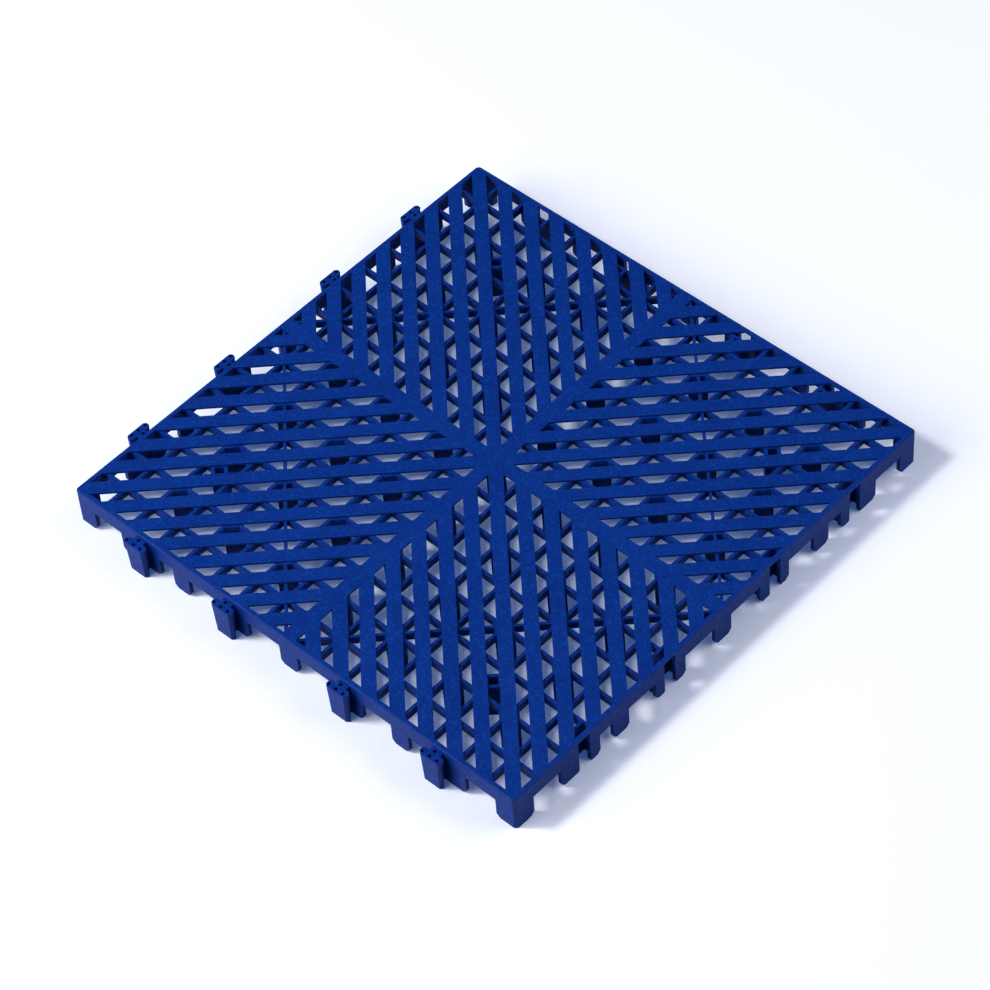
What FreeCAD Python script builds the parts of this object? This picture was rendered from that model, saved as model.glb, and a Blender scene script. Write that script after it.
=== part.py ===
import FreeCAD, Part
import math
import os

from FreeCAD import Vector

os.makedirs("parts", exist_ok=True)

# Overall sizes of the tile (mm)
SIDE = 400.0
HEIGHT = 30.0
CORNER_RADIUS = 3.0
TOP_EDGE_CHAMFER = 0.8

# Deck: slatted top plate in four quadrants, solid cross between them, solid rim around
DECK_THICKNESS = 1.6
CELL = 25.0
SLOT_WIDTH = 7.6
SPINE_WIDTH = 11.0
RIM_WIDTH = 3.6

# Ribs that carry the slats, and the brace across each quadrant
RIB_WIDTH = 2.4
RIB_DEPTH = 6.4
BRACE_WIDTH = 2.0

# Hollow posts that stand on the floor, turned 45 degrees like the slats
POST_SIDE = 13.0
POST_WALL = 1.8
POST_PITCH_CELLS = 2

# Smaller post in the outer part of each quadrant, seen through a slot
EXTRA_POST_SIDE = 11.2
EXTRA_POST_WALL = 2.5
EXTRA_POST_CELLS_ALONG = 5.5
EXTRA_POST_CELLS_ACROSS = 5

# Skirt wall around the four edges: a band on feet, with arches between the feet
SKIRT_WALL = 3.0
BAND_HEIGHT = 12.7
FOOT_CHAMFER = 3.0
CORNER_FOOT = 17.0
CENTRE_FOOT = 16.0
NODE_FOOT = 15.0
INNER_GUARD_NEAR = 9.7
INNER_GUARD_FAR = 8.7
OUTER_GUARD_NEAR = 9.2
OUTER_GUARD_FAR = 16.7

# Connectors: T-shaped tabs on two edges, T-shaped sockets open below on the two others
CONNECTOR_INNER = 52.5
CONNECTOR_OUTER = 135.0
HEAD_WIDTH = 18.0
NECK_WIDTH = 8.4
TAB_REACH = 9.0
TAB_WALL = 1.6
TAB_DRAFT = 0.8
HEAD_CHAMFER = 1.6
MOUTH_CHAMFER = 1.0
SOCKET_CLEARANCE = 0.4
NECK_CLEARANCE = 1.2
ROOF_CLEARANCE = 0.8
POCKET_WALL = 1.8

HALF = SIDE / 2
DECK_UNDERSIDE = HEIGHT - DECK_THICKNESS
RIB_BOTTOM = DECK_UNDERSIDE - RIB_DEPTH
BAND_BOTTOM = HEIGHT - BAND_HEIGHT
TAB_TOP = DECK_UNDERSIDE - ROOF_CLEARANCE
HEAD_REAR = SKIRT_WALL + SOCKET_CLEARANCE
MOUTH_WIDTH = NECK_WIDTH + 2 * NECK_CLEARANCE
SOCKET_WIDTH = HEAD_WIDTH + 2 * SOCKET_CLEARANCE
SOCKET_DEPTH = TAB_REACH + SOCKET_CLEARANCE
CONNECTORS = (-CONNECTOR_OUTER, -CONNECTOR_INNER, CONNECTOR_INNER, CONNECTOR_OUTER)
CELLS_OUT = math.ceil(HALF / CELL)
UP = Vector(0, 0, 1)


def block(x0, x1, y0, y1, z0, z1):
    """Upright box between the two given corners."""
    return Part.makeBox(x1 - x0, y1 - y0, z1 - z0, Vector(x0, y0, z0))


def prism(points, z0, z1):
    """Upright prism over a closed outline of (x, y) points."""
    wire = Part.makePolygon([Vector(x, y, z0) for x, y in points + points[:1]])
    return Part.Face(wire).extrude(Vector(0, 0, z1 - z0))


def turned(shape, quarter):
    """Copy of a shape turned about the tile's centre by quarter turns."""
    copy = shape.copy()
    copy.rotate(Vector(0, 0, 0), UP, 90.0 * quarter)
    return copy


def rounded_plate(z0, z1):
    """Square plate of the tile's outline with rounded upright edges."""
    plate = block(-HALF, HALF, -HALF, HALF, z0, z1)
    return plate.makeFillet(CORNER_RADIUS, [e for e in plate.Edges if e.BoundBox.ZLength > z1 - z0 - 0.01])


def strip(low, high, offset, width):
    """Part of the square low..high (both ways) within a 45 degree strip, as outline points.

    The strip keeps u - v within the given width, measured square to it, about the offset."""
    reach = width * 2 ** 0.5 / 2
    lower, upper = offset - reach, offset + reach
    corners = [(low, low), (high, low), (high, high), (low, high)]
    for sign, bound in ((1, upper), (-1, -lower)):
        kept = []
        for k, (u, v) in enumerate(corners):
            nu, nv = corners[(k + 1) % len(corners)]
            here, there = sign * (u - v) - bound, sign * (nu - nv) - bound
            if here <= 0:
                kept.append((u, v))
            if here * there < 0:
                t = here / (here - there)
                kept.append((u + t * (nu - u), v + t * (nv - v)))
        corners = kept
    return corners


def slots():
    """Slots of the quadrant between +X and +Y, which run from the centre outward."""
    outlines = [strip(SPINE_WIDTH / 2, HALF - RIM_WIDTH, sign * (k + 0.5) * CELL, SLOT_WIDTH)
                for k in range(CELLS_OUT) for sign in (1, -1)]
    return [prism(o, DECK_UNDERSIDE - 1, HEIGHT + 1) for o in outlines if len(o) > 2]


def deck():
    """Top plate with a softened outer edge, slotted in the quadrant between +X and +Y."""
    plate = rounded_plate(DECK_UNDERSIDE, HEIGHT)
    plate = plate.makeChamfer(TOP_EDGE_CHAMFER, [e for e in plate.Edges if e.BoundBox.ZMin > HEIGHT - 0.01])
    return plate.cut(slots())


def ribs():
    """Square grid of ribs under the slats, with one brace across the quadrant."""
    end, half = HALF - SKIRT_WALL / 2, RIB_WIDTH / 2
    bars = []
    for at in [i * CELL for i in range(CELLS_OUT)]:
        bars.append(block(at - half, at + half, -CELL, end, RIB_BOTTOM, DECK_UNDERSIDE))
        bars.append(block(-CELL, end, at - half, at + half, RIB_BOTTOM, DECK_UNDERSIDE))
    half = BRACE_WIDTH * 2 ** 0.5 / 2
    end = HALF - half
    outline = [(end, 0), (end, 2 * half), (2 * half, end), (0, end)]
    bars.append(prism(outline, RIB_BOTTOM, DECK_UNDERSIDE))
    return bars


def posts(wall_share, z0, z1):
    """Square prisms turned 45 degrees on every post place of the quadrant.

    They are set in by the given share of the posts' walls: 0 for the posts, 1 for their bores."""
    pitch = POST_PITCH_CELLS * CELL
    steps = range(math.ceil(HALF / pitch))
    places = [(i * pitch, j * pitch, POST_SIDE, POST_WALL) for i in steps for j in steps]
    places.append((EXTRA_POST_CELLS_ALONG * CELL, EXTRA_POST_CELLS_ACROSS * CELL,
                   EXTRA_POST_SIDE, EXTRA_POST_WALL))
    prisms = []
    for x, y, side, wall in places:
        r = (side - 2 * wall * wall_share) * 2 ** 0.5 / 2
        prisms.append(prism([(x + r, y), (x, y + r), (x - r, y), (x, y - r)], z0, z1))
    return prisms


def opening(a, b, top, splay):
    """Cutter through the -Y skirt wall from a to b, splayed at the floor."""
    flank = [(splay, -1), (splay, 0), (0, splay), (0, top)]
    outline = [(a - u, z) for u, z in flank] + [(b + u, z) for u, z in reversed(flank)]
    wire = Part.makePolygon([Vector(u, -HALF - 1, z) for u, z in outline + outline[:1]])
    return Part.Face(wire).extrude(Vector(0, SKIRT_WALL + 1.5, 0))


def arches():
    """Gaps between the feet on one half of an edge, as distances from its middle."""
    half, node = MOUTH_WIDTH / 2, 2 * POST_PITCH_CELLS * CELL
    gaps = [
        (CENTRE_FOOT / 2, CONNECTOR_INNER - half - INNER_GUARD_NEAR),
        (CONNECTOR_INNER + half + INNER_GUARD_FAR, node - NODE_FOOT / 2),
        (node + NODE_FOOT / 2, CONNECTOR_OUTER - half - OUTER_GUARD_NEAR),
        (CONNECTOR_OUTER + half + OUTER_GUARD_FAR, HALF - CORNER_FOOT),
    ]
    return [(a, b) for a, b in gaps if b > a]


def skirt():
    """Wall ring around the tile with its arches cut through."""
    inner = HALF - SKIRT_WALL
    ring = rounded_plate(0, DECK_UNDERSIDE).cut(block(-inner, inner, -inner, inner, -1, HEIGHT))
    cutters = [opening(*gap, BAND_BOTTOM, FOOT_CHAMFER) for a, b in arches() for gap in ((a, b), (-b, -a))]
    return ring.cut([turned(c, q) for q in range(4) for c in cutters])


def quadrant():
    """Quarter of the tile between +X and +Y without connectors."""
    frame = ribs() + posts(0, 0, DECK_UNDERSIDE)
    solid = frame[0].fuse(frame[1:])
    solid = solid.cut(posts(1, -1, DECK_UNDERSIDE))
    quarter = block(0, SIDE, 0, SIDE, -1, HEIGHT + 1)
    pieces = [s.common(quarter) for s in (solid, skirt(), deck())]
    return pieces[0].fuse(pieces[1:])


def tab(at):
    """T-shaped tab on the -Y edge, cored from below; it narrows towards the floor."""
    outlines = []
    for level in (0, TAB_TOP):
        inset = TAB_DRAFT * (1 - level / TAB_TOP)
        neck, head, cut = NECK_WIDTH / 2 - inset, HEAD_WIDTH / 2 - inset, HEAD_CHAMFER
        root, rear, front = -HALF + SKIRT_WALL / 2, -HALF - HEAD_REAR - inset, -HALF - TAB_REACH + inset
        flank = [(neck, root), (neck, rear), (head - cut, rear), (head, rear - cut), (head, front + cut),
                 (head - cut, front)]
        corners = [(at - u, y) for u, y in flank] + [(at + u, y) for u, y in reversed(flank)]
        outlines.append(Part.makePolygon([Vector(x, y, level) for x, y in corners + corners[:1]]))
    shell = TAB_DRAFT + TAB_WALL
    half = NECK_WIDTH / 2 - shell
    core = block(at - half, at + half, -HALF - TAB_REACH + shell, -HALF, -1, TAB_TOP - TAB_WALL)
    return Part.makeLoft(outlines, True, True).cut(core)


def pocket(at):
    """Walls behind a socket on the -Y edge, which guard its two sides and its back."""
    half, back = SOCKET_WIDTH / 2 + POCKET_WALL, -HALF + SOCKET_DEPTH + POCKET_WALL
    return block(at - half, at + half, -HALF + SKIRT_WALL / 2, back, 0, DECK_UNDERSIDE)


def socket(at):
    """Cutters for a socket on the -Y edge: the mouth for a neck and the wider space for a head."""
    mouth, half = MOUTH_WIDTH / 2, SOCKET_WIDTH / 2
    return [opening(at - mouth, at + mouth, DECK_UNDERSIDE, MOUTH_CHAMFER),
            block(at - half, at + half, -HALF + SKIRT_WALL, -HALF + SOCKET_DEPTH, -1, DECK_UNDERSIDE)]


def floor_tile():
    quarter = quadrant()
    joined = [turned(quarter, q) for q in (1, 2, 3)]
    joined += [turned(tab(c), q) for q in (2, 3) for c in CONNECTORS]
    joined += [turned(pocket(c), q) for q in (0, 1) for c in CONNECTORS]
    solid = quarter.fuse(joined)
    solid = solid.cut([turned(s, q) for q in (0, 1) for c in CONNECTORS for s in socket(c)])
    solid = solid.removeSplitter()
    solid.translate(Vector(TAB_REACH / 2, -TAB_REACH / 2, 0))
    return solid


tile = floor_tile()
if len(tile.Solids) == 1:
    tile = tile.Solids[0]
tile.exportStep("parts/floor_tile.step")
box = tile.BoundBox
print("floor_tile", tile.ShapeType, len(tile.Solids), "faces", len(tile.Faces), "valid", tile.isValid(),
      round(box.XLength, 3), round(box.YLength, 3), round(box.ZLength, 3))
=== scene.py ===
import math

import bmesh
import bpy
import numpy as np
from bpy.props import FloatProperty, FloatVectorProperty, IntProperty, PointerProperty
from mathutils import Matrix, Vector


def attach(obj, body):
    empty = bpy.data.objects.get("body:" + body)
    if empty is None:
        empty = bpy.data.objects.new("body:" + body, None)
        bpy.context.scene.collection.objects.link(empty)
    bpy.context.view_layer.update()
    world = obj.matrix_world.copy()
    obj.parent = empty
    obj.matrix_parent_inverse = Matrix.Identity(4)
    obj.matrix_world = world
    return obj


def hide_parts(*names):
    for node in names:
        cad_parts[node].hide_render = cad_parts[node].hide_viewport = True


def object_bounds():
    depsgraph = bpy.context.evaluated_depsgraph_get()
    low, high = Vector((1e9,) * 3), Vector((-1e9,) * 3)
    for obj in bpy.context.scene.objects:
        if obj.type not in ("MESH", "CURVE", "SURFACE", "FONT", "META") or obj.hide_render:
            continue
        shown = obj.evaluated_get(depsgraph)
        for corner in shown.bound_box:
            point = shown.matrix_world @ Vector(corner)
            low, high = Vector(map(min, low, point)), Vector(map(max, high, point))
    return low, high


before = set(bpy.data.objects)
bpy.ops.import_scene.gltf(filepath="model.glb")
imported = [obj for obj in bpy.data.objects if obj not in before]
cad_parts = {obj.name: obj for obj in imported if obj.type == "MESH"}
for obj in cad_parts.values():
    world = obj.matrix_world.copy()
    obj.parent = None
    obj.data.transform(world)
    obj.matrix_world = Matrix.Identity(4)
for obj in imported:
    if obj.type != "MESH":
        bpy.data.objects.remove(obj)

bl_info = {
    "name": "Drainage floor tile",
    "version": (1, 0, 0),
    "blender": (4, 5, 0),
    "location": "3D View > Sidebar > Floor Tile",
    "description": "Dresses the moulded drainage floor tile and sets its stage",
    "category": "Object",
}

CAD_BOX = [list(map(float, corner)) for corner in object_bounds()]

# The tabs reach out past the square on the -X and +Y edges, which moves its middle off the origin
TAB_REACH = 0.009
TAB_BELOW_DECK = 0.0024
HALF_SIDE = (CAD_BOX[1][0] - CAD_BOX[0][0] - TAB_REACH) / 2
TILE_CENTRE = (CAD_BOX[1][0] - HALF_SIDE, CAD_BOX[0][1] + HALF_SIDE)
TAB_TOP = CAD_BOX[1][2] - TAB_BELOW_DECK
TAB_PLACES = (-0.135, -0.0525, 0.0525, 0.135)

# Cutters of the blind holes: round at the floor as a share of the radius, rise above the tab top, facets
FLOOR_ROUND = 0.35
CUTTER_RISE = 0.001
CUTTER_SIDES, ROUND_POINTS = 12, 4

# CAD corners nearer than this are one; a smaller bend is flat, and a larger one is an edge to round
SAME_CORNER = 2e-6
FLAT_BEND, EDGE_BEND = math.radians(1.0), math.radians(30.0)

# Grain: frequency of the noise as a share of the pebbles', reach of a pebble from its middle in the
# pattern's own units, and the relief at which the painted highlight on the crests begins and is full
NOISE_SHARE = 0.42
PEBBLE_REACH = 0.75
CREST_HIGHLIGHT_RELIEF = (0.12, 0.50)

# Handling marks: noise levels at which a patch or a scratch begins and is full, and how scratches run
CLOUD_LEVELS, SCRATCH_LEVELS = (0.35, 0.70), (0.66, 0.76)
SCRATCH_TURN, SCRATCH_STRETCH = (0.0, 0.0, 0.6), (60.0, 900.0, 60.0)

# What the masks do to the plastic: share of pale blue (a painted highlight on the grain's crests, and
# the handling patches' own paler tone), change of roughness, strength of the relief
CREST_HIGHLIGHT_PALENESS, CLOUD_PALENESS = 0.85, 0.22
GRAIN_ROUGHNESS, SCRATCH_ROUGHNESS = 0.05, 0.08
RELIEF_STRENGTH = 0.8
PLASTIC_IOR = 1.49

# Colour sockets of a Mix node, by number because other kinds share their names
MIX_A, MIX_B, MIX_RESULT = 6, 7, 2

# Point that the lamps aim at, and the place and size of each
LAMP_AIM = (0.0, 0.0, 0.02)
KEY_PLACE, KEY_SIZE = (-1.29, 1.17, 2.19), (0.5, 0.5)
LEFT_PLACE, LEFT_SIZE = (-2.16, 0.95, 1.30), (2.4, 1.6)
RIGHT_PLACE, RIGHT_SIZE = (1.66, -1.51, 1.50), (2.8, 2.0)

# Camera, turned about X, Y and Z, with the width of its sensor in millimetres
CAMERA_PLACE = (-1.12557, -1.18848, 1.89151)
CAMERA_TURN_DEGREES = (40.6688, 3.2989, -47.4278)
CAMERA_SENSOR = 36.0


class MouldingSizes(bpy.types.PropertyGroup):
    """Sizes of what the moulding gets beyond the CAD solid"""

    edge_round: FloatProperty(
        name="Edge rounding", description="Width of the rounding along the moulded edges",
        default=0.0005, unit="LENGTH")
    edge_segments: IntProperty(
        name="Edge segments", description="Facets across each rounded edge", default=2, min=1)
    dimple_radius: FloatProperty(
        name="Dimple radius", description="Radius of the blind holes in the tab tops",
        default=0.0013, unit="LENGTH")
    dimple_depth: FloatProperty(
        name="Dimple depth", description="Depth of the blind holes in the tab tops",
        default=0.0022, unit="LENGTH")
    dimple_pitch: FloatProperty(
        name="Dimple pitch", description="Spacing of the blind holes along the edge",
        default=0.0063, unit="LENGTH")
    dimple_offset: FloatProperty(
        name="Dimple offset", description="Shift of the blind holes from the tab's middle",
        default=0.0009, unit="LENGTH")
    dimple_row_out: FloatProperty(
        name="Outer row", description="Distance of the holes in the head from the skirt face",
        default=0.0068, unit="LENGTH")
    dimple_row_in: FloatProperty(
        name="Inner hole", description="Distance of the hole in the neck from the skirt face",
        default=0.0023, unit="LENGTH")


class PlasticFinish(bpy.types.PropertyGroup):
    """Colour and surface of the moulded plastic"""

    blue: FloatVectorProperty(
        name="Blue", description="Body colour of the plastic",
        subtype="COLOR", size=3, min=0.0, max=1.0, default=(0.0008, 0.0228, 0.197))
    # Pale blue is painted on the grain's crests as a highlight, and is the paler tone of the handling patches
    pale_blue: FloatVectorProperty(
        name="Pale blue", description="Colour of the crests of the grain and of rubbed patches",
        subtype="COLOR", size=3, min=0.0, max=1.0, default=(0.0030, 0.0430, 0.297))
    grain_size: FloatProperty(
        name="Grain size", description="Width of one pebble of the moulded grain",
        default=0.0020, unit="LENGTH")
    grain_depth: FloatProperty(
        name="Grain depth", description="Height of the moulded grain", default=0.00018, unit="LENGTH")
    roughness: FloatProperty(
        name="Roughness", description="Mean roughness of the plastic",
        default=0.44, min=0.0, max=1.0, subtype="FACTOR")
    sheen: FloatProperty(
        name="Sheen", description="Strength of the surface reflection, where 0.5 is that of gloss plastic",
        default=0.1, min=0.0, max=1.0, subtype="FACTOR")


class StageSettings(bpy.types.PropertyGroup):
    """Floor, lamps and camera"""

    floor_size: FloatProperty(
        name="Floor size", description="Side of the square floor", default=14.0, unit="LENGTH")
    floor_white: FloatVectorProperty(
        name="Floor white", description="Colour of the floor as the camera sees it",
        subtype="COLOR", size=3, min=0.0, max=1.0, default=(0.97, 0.98, 1.00))
    floor_bounce: FloatVectorProperty(
        name="Floor bounce", description="Colour of the floor for light that it returns",
        subtype="COLOR", size=3, min=0.0, max=1.0, default=(0.32, 0.32, 0.34))
    # Painted bounce light: a mostly blue glow, seen by the camera and in reflections, that lightens the
    # floor's shade under the tile and tints it blue as if lit from the plastic; on the lit floor it only adds
    # to the white
    floor_painted_bounce: FloatVectorProperty(
        name="Floor lift", description="Light of the floor's own that the camera sees",
        subtype="COLOR", size=3, min=0.0, max=1.0, default=(0.015, 0.050, 0.17))
    key_watts: FloatProperty(
        name="Key lamp", description="Power of the smaller lamp high at image left",
        default=46.0, unit="POWER")
    left_watts: FloatProperty(
        name="Left lamp", description="Power of the large soft lamp low at image left",
        default=47.0, unit="POWER")
    right_watts: FloatProperty(
        name="Right lamp", description="Power of the large soft lamp at image right",
        default=42.0, unit="POWER")
    ambient: FloatProperty(
        name="Ambient", description="Strength of the light from all around", default=0.08, min=0.0)
    lens: FloatProperty(
        name="Focal length", description="Focal length of the camera in millimetres", default=134.5)


def linked(obj):
    """Puts an object into the scene and returns it."""
    bpy.context.scene.collection.objects.link(obj)
    return obj


def mesh_object(name, points, faces):
    """Object with a mesh of the given points and faces."""
    mesh = bpy.data.meshes.new(name)
    mesh.from_pydata(points.tolist(), [], faces)
    mesh.update()
    return linked(bpy.data.objects.new(name, mesh))


def hole_profile(radius, depth):
    """Profile (radius, height) of a blind hole: flat floor, quarter round into the wall, then straight up."""
    turn = np.linspace(0.0, math.pi / 2, ROUND_POINTS)
    blend = FLOOR_ROUND * radius
    low = np.stack([radius - blend + blend * np.sin(turn), -depth + blend * (1 - np.cos(turn))], 1)
    return np.concatenate([[[0.0, -depth]], low, [[radius, CUTTER_RISE], [0.0, CUTTER_RISE]]])


def revolved(profile, sides, places):
    """Closed surfaces of revolution about upright axes at the given places.

    A point at angle a and step t lies at (r(t) cos a, r(t) sin a, z(t)) from its place.
    The profile's first and last points are the poles."""
    angle = np.arange(sides) * (2 * math.pi / sides)
    ring = np.stack([np.cos(angle), np.sin(angle)], 1)
    body = profile[1:-1]
    flat = body[:, None, 0, None] * ring[None]
    height = np.broadcast_to(body[:, None, 1:], flat.shape[:2] + (1,))
    poles = [[0, 0, profile[0, 1]], [0, 0, profile[-1, 1]]]
    one = np.concatenate([np.concatenate([flat, height], 2).reshape(-1, 3), poles])
    points = (one[None] + places[:, None]).reshape(-1, 3)

    low, high = len(one) - 2, len(one) - 1
    here = np.arange(sides)
    after = (here + 1) % sides
    top = (len(body) - 1) * sides
    band = np.stack([here, after, after + sides, here + sides], 1)
    faces = [*np.concatenate([band + start for start in range(0, top, sides)]).tolist(),
             *np.stack([np.full(sides, low), after, here], 1).tolist(),
             *np.stack([np.full(sides, high), top + here, top + after], 1).tolist()]
    all_faces = [[corner + i * len(one) for corner in face] for i in range(len(places)) for face in faces]
    return points, all_faces


def dimple_places(sizes):
    """Centres of the blind holes on all tab tops: three in the head and one in the neck.

    The pattern lies along the +Y edge, and turned by a quarter along the -X edge."""
    pattern = np.array([[-1, sizes.dimple_row_out], [0, sizes.dimple_row_out], [1, sizes.dimple_row_out],
                        [0, sizes.dimple_row_in]])
    along = sizes.dimple_offset - (np.array(TAB_PLACES)[:, None] + pattern[:, 0] * sizes.dimple_pitch)
    out = np.broadcast_to(HALF_SIDE + pattern[:, 1], along.shape)
    along, out = along.ravel(), out.ravel()
    flat = np.concatenate([np.stack([along, out], 1), np.stack([-out, along], 1)]) + np.array(TILE_CENTRE)
    return np.column_stack([flat, np.full(len(flat), TAB_TOP)])


def merged_copy(node, name):
    """Copy of a CAD node with its loose triangles joined and its flat faces made whole."""
    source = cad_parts[node]
    mesh = source.data.copy()
    mesh.transform(source.matrix_world)
    mesh.name = name
    shape = bmesh.new()
    shape.from_mesh(mesh)
    bmesh.ops.remove_doubles(shape, verts=shape.verts, dist=SAME_CORNER)
    bmesh.ops.dissolve_limit(shape, angle_limit=FLAT_BEND, verts=shape.verts, edges=shape.edges)
    shape.to_mesh(mesh)
    shape.free()
    mesh.materials.clear()
    return linked(bpy.data.objects.new(name, mesh))


def apply_all(obj):
    """Puts the result of an object's modifiers into its mesh."""
    graph = bpy.context.evaluated_depsgraph_get()
    mesh = bpy.data.meshes.new_from_object(obj.evaluated_get(graph))
    obj.modifiers.clear()
    old, obj.data = obj.data, mesh
    bpy.data.meshes.remove(old)


def cut_dimples(tile, sizes):
    """Cuts the blind holes into the tab tops."""
    profile = hole_profile(sizes.dimple_radius, sizes.dimple_depth)
    cutters = mesh_object("dimple_cutters", *revolved(profile, CUTTER_SIDES, dimple_places(sizes)))
    cut = tile.modifiers.new("dimples", "BOOLEAN")
    cut.operation, cut.object, cut.solver = "DIFFERENCE", cutters, "EXACT"
    apply_all(tile)
    bpy.data.objects.remove(cutters)


def round_edges(tile, sizes):
    """Rounds the moulded edges, with normals that leave the flat faces flat beside them."""
    edge = tile.modifiers.new("soft edges", "BEVEL")
    edge.width, edge.segments = sizes.edge_round, sizes.edge_segments
    edge.limit_method, edge.angle_limit = "ANGLE", EDGE_BEND
    edge.use_clamp_overlap = True
    edge.face_strength_mode = "FSTR_ALL"
    for polygon in tile.data.polygons:
        polygon.use_smooth = True
    flat = tile.modifiers.new("flat faces", "WEIGHTED_NORMAL")
    flat.use_face_influence = True


def add_node(tree, kind, **values):
    """New node; each value goes to the property or the input socket of that name."""
    node = tree.nodes.new(kind)
    for key, value in values.items():
        if hasattr(node, key):
            setattr(node, key, value)
        else:
            node.inputs[key.replace("_", " ")].default_value = value
    return node


def add_math(tree, operation, *terms):
    """Output of a new Math node on the given numbers and sockets."""
    node = add_node(tree, "ShaderNodeMath", operation=operation)
    for socket, term in zip(node.inputs, terms):
        if isinstance(term, bpy.types.NodeSocket):
            tree.links.new(term, socket)
        else:
            socket.default_value = term
    return node.outputs[0]


def add_range(tree, value, low, high, **values):
    """Output of a new Map Range node that takes low to high of a value to 0 to 1, or as the values say."""
    node = add_node(tree, "ShaderNodeMapRange", From_Min=low, From_Max=high, **values)
    tree.links.new(value, node.inputs["Value"])
    return node.outputs[0]


def new_group(name, inputs, outputs):
    """Shader node group with the given sockets, and its input and output nodes."""
    group = bpy.data.node_groups.new(name, "ShaderNodeTree")
    for direction, sockets in (("INPUT", inputs), ("OUTPUT", outputs)):
        for socket, kind in sockets.items():
            group.interface.new_socket(socket, in_out=direction, socket_type=kind)
    return group, group.nodes.new("NodeGroupInput"), group.nodes.new("NodeGroupOutput")


def grain_group():
    """Moulded grain: the rounded pebbles of a Voronoi pattern, broken by a broader noise.

    Height is the relief from 0 to 1, and Crest_highlight is a mask of the pebbles that stand proudest, where
    a highlight is painted."""
    group, start, end = new_group("Moulded grain",
                                  {"Vector": "NodeSocketVector", "Frequency": "NodeSocketFloat"},
                                  {"Height": "NodeSocketFloat", "Crest_highlight": "NodeSocketFloat"})
    links = group.links
    pebble = add_node(group, "ShaderNodeTexVoronoi", feature="SMOOTH_F1", Smoothness=0.6)
    links.new(start.outputs["Vector"], pebble.inputs["Vector"])
    links.new(start.outputs["Frequency"], pebble.inputs["Scale"])
    noise = add_node(group, "ShaderNodeTexNoise", Detail=3.0, Roughness=0.65)
    links.new(start.outputs["Vector"], noise.inputs["Vector"])
    links.new(add_math(group, "MULTIPLY", start.outputs["Frequency"], NOISE_SHARE), noise.inputs["Scale"])
    crest = add_range(group, pebble.outputs["Distance"], 0.0, PEBBLE_REACH, To_Min=1.0, To_Max=0.0)
    relief = add_math(group, "MULTIPLY", crest, noise.outputs[0])
    # Painted highlight: the pebbles that stand proudest get a paler blue
    crest_highlight = add_range(group, relief, *CREST_HIGHLIGHT_RELIEF, interpolation_type="SMOOTHSTEP")
    links.new(relief, end.inputs["Height"])
    links.new(crest_highlight, end.inputs["Crest_highlight"])
    return group


def scuff_group():
    """Handling marks: Cloud is a mask of broad soft patches, and Scratch is a mask of short fine lines."""
    group, start, end = new_group("Handling marks", {"Vector": "NodeSocketVector"},
                                  {"Cloud": "NodeSocketFloat", "Scratch": "NodeSocketFloat"})
    links = group.links
    patch = add_node(group, "ShaderNodeTexNoise", Scale=26.0, Detail=4.0, Roughness=0.6)
    links.new(start.outputs["Vector"], patch.inputs["Vector"])
    cloud = add_range(group, patch.outputs[0], *CLOUD_LEVELS, interpolation_type="SMOOTHSTEP")
    stretch = add_node(group, "ShaderNodeMapping", Rotation=SCRATCH_TURN, Scale=SCRATCH_STRETCH)
    links.new(start.outputs["Vector"], stretch.inputs["Vector"])
    line = add_node(group, "ShaderNodeTexNoise", Scale=1.0, Detail=2.0, Roughness=0.5)
    links.new(stretch.outputs[0], line.inputs["Vector"])
    scratch = add_range(group, line.outputs[0], *SCRATCH_LEVELS)
    links.new(cloud, end.inputs["Cloud"])
    links.new(scratch, end.inputs["Scratch"])
    return group


def plastic_material(finish):
    """Cobalt blue moulded plastic: pebbled grain on all faces, a painted highlight on the grain's crests and
    faint handling marks.
    """
    material = bpy.data.materials.new("moulded_blue_plastic")
    material.use_nodes = True
    tree = material.node_tree
    links = tree.links
    shader = tree.nodes["Principled BSDF"]
    shader.inputs["IOR"].default_value = PLASTIC_IOR
    shader.inputs["Specular IOR Level"].default_value = finish.sheen
    place = tree.nodes.new("ShaderNodeTexCoord")
    grain = add_node(tree, "ShaderNodeGroup", node_tree=grain_group())
    grain.inputs["Frequency"].default_value = 1.0 / finish.grain_size
    marks = add_node(tree, "ShaderNodeGroup", node_tree=scuff_group())
    for node in (grain, marks):
        links.new(place.outputs["Object"], node.inputs["Vector"])

    # Paler blue where a highlight is painted on the grain's crests, plus the handling patches' own paler tone
    cloud = add_math(tree, "MULTIPLY", marks.outputs["Cloud"], CLOUD_PALENESS)
    paler = add_math(tree, "MULTIPLY_ADD", grain.outputs["Crest_highlight"], CREST_HIGHLIGHT_PALENESS, cloud)
    colour = add_node(tree, "ShaderNodeMix", data_type="RGBA")
    colour.inputs[MIX_A].default_value = (*finish.blue, 1.0)
    colour.inputs[MIX_B].default_value = (*finish.pale_blue, 1.0)
    links.new(paler, colour.inputs["Factor"])
    links.new(colour.outputs[MIX_RESULT], shader.inputs["Base Color"])

    smoother = add_range(tree, grain.outputs["Height"], 0.0, 1.0, To_Min=finish.roughness + GRAIN_ROUGHNESS,
                         To_Max=finish.roughness - GRAIN_ROUGHNESS)
    scratched = add_math(tree, "MULTIPLY_ADD", marks.outputs["Scratch"], SCRATCH_ROUGHNESS, smoother)
    links.new(scratched, shader.inputs["Roughness"])

    bump = add_node(tree, "ShaderNodeBump", Strength=RELIEF_STRENGTH, Distance=finish.grain_depth)
    links.new(grain.outputs["Height"], bump.inputs["Height"])
    links.new(bump.outputs[0], shader.inputs["Normal"])
    return material


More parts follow.
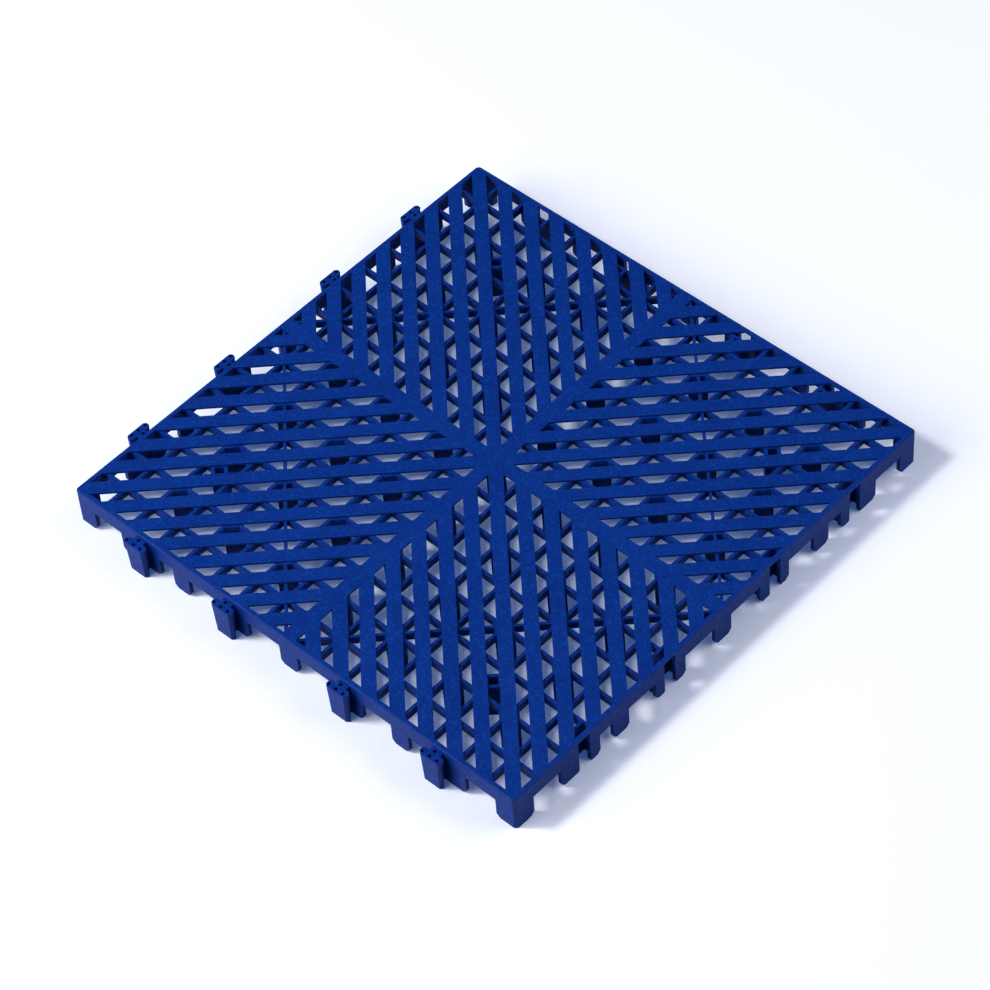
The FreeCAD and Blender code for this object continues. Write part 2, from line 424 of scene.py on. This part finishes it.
class TILE_OT_moulding(bpy.types.Operator):
    """Dresses the tile: copy of the CAD solid with dimpled tabs, rounded edges and grained plastic"""

    bl_idname = "tile.moulding"
    bl_label = "Moulded tile"

    def execute(self, context):
        sizes, finish = context.scene.tile_sizes, context.scene.tile_finish
        tile = merged_copy("floor_tile", "moulded_tile")
        cut_dimples(tile, sizes)
        round_edges(tile, sizes)
        tile.data.materials.append(plastic_material(finish))
        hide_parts("floor_tile")
        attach(tile, "root")
        return {"FINISHED"}


def floor_material(settings):
    """Pale floor: white with the tile's shadow to the camera, in reflections and through clear things.

    It is dimmer for the light that it returns to the tile, and a glow seen by the camera and in reflections
    paints blue bounce light from the plastic into its shade."""
    material = bpy.data.materials.new("pale_floor")
    material.use_nodes = True
    tree = material.node_tree
    links = tree.links
    tree.nodes.remove(tree.nodes["Principled BSDF"])
    path = tree.nodes.new("ShaderNodeLightPath")
    seen = path.outputs["Is Camera Ray"]
    for ray in ("Is Glossy Ray", "Is Transmission Ray"):
        seen = add_math(tree, "MAXIMUM", seen, path.outputs[ray])
    bounce = add_node(tree, "ShaderNodeBsdfDiffuse", Color=(*settings.floor_bounce, 1.0))
    white = add_node(tree, "ShaderNodeBsdfDiffuse", Color=(*settings.floor_white, 1.0))
    # Painted bounce light: a glow that lightens the floor's shade and tints it blue
    painted_bounce = add_node(tree, "ShaderNodeEmission", Color=(*settings.floor_painted_bounce, 1.0), Strength=1.0)
    both = tree.nodes.new("ShaderNodeAddShader")
    links.new(white.outputs[0], both.inputs[0])
    links.new(painted_bounce.outputs[0], both.inputs[1])
    mix = tree.nodes.new("ShaderNodeMixShader")
    links.new(seen, mix.inputs[0])
    links.new(bounce.outputs[0], mix.inputs[1])
    links.new(both.outputs[0], mix.inputs[2])
    links.new(mix.outputs[0], tree.nodes["Material Output"].inputs["Surface"])
    return material


def soft_lamp(name, place, size, watts):
    """Rectangular lamp at a place, aimed at the tile."""
    light = bpy.data.lights.new(name, "AREA")
    light.shape, light.energy = "RECTANGLE", watts
    light.size, light.size_y = size
    lamp = linked(bpy.data.objects.new(name, light))
    lamp.location = place
    lamp.rotation_euler = (Vector(LAMP_AIM) - lamp.location).to_track_quat("-Z", "Y").to_euler()


class TILE_OT_stage(bpy.types.Operator):
    """Sets the pale floor, the three lamps, the even surround and the camera"""

    bl_idname = "tile.stage"
    bl_label = "Stage"

    def execute(self, context):
        scene, settings = context.scene, context.scene.tile_stage
        half = settings.floor_size / 2
        corners = np.array([[-half, -half, 0], [half, -half, 0], [half, half, 0], [-half, half, 0]])
        floor = mesh_object("pale_floor", corners, [[0, 1, 2, 3]])
        floor.data.materials.append(floor_material(settings))

        world = scene.world or bpy.data.worlds.new("surround")
        scene.world = world
        world.use_nodes = True
        surround = world.node_tree.nodes["Background"]
        surround.inputs["Color"].default_value = (1.0, 1.0, 1.0, 1.0)
        surround.inputs["Strength"].default_value = settings.ambient

        soft_lamp("key_lamp", KEY_PLACE, KEY_SIZE, settings.key_watts)
        soft_lamp("left_lamp", LEFT_PLACE, LEFT_SIZE, settings.left_watts)
        soft_lamp("right_lamp", RIGHT_PLACE, RIGHT_SIZE, settings.right_watts)

        camera = bpy.data.cameras.new("camera")
        camera.lens, camera.sensor_width = settings.lens, CAMERA_SENSOR
        eye = linked(bpy.data.objects.new("camera", camera))
        eye.location = CAMERA_PLACE
        eye.rotation_euler = [math.radians(angle) for angle in CAMERA_TURN_DEGREES]
        scene.camera = eye
        scene.view_settings.view_transform = "Standard"
        return {"FINISHED"}


class TILE_PT_panel(bpy.types.Panel):
    """Lists the steps that dress the tile and set the stage"""

    bl_idname = "TILE_PT_panel"
    bl_label = "Floor tile"
    bl_space_type = "VIEW_3D"
    bl_region_type = "UI"
    bl_category = "Floor Tile"

    def draw(self, context):
        for step in STEPS:
            self.layout.operator(step.bl_idname)


STEPS = (TILE_OT_moulding, TILE_OT_stage)
CLASSES = (MouldingSizes, PlasticFinish, StageSettings, *STEPS, TILE_PT_panel)


def register():
    for item in CLASSES:
        bpy.utils.register_class(item)
    bpy.types.Scene.tile_sizes = PointerProperty(type=MouldingSizes)
    bpy.types.Scene.tile_finish = PointerProperty(type=PlasticFinish)
    bpy.types.Scene.tile_stage = PointerProperty(type=StageSettings)


def unregister():
    del bpy.types.Scene.tile_stage, bpy.types.Scene.tile_finish, bpy.types.Scene.tile_sizes
    for item in reversed(CLASSES):
        bpy.utils.unregister_class(item)


def main():
    register()
    bpy.ops.tile.moulding()
    bpy.ops.tile.stage()


if __name__ == "__main__":
    main()
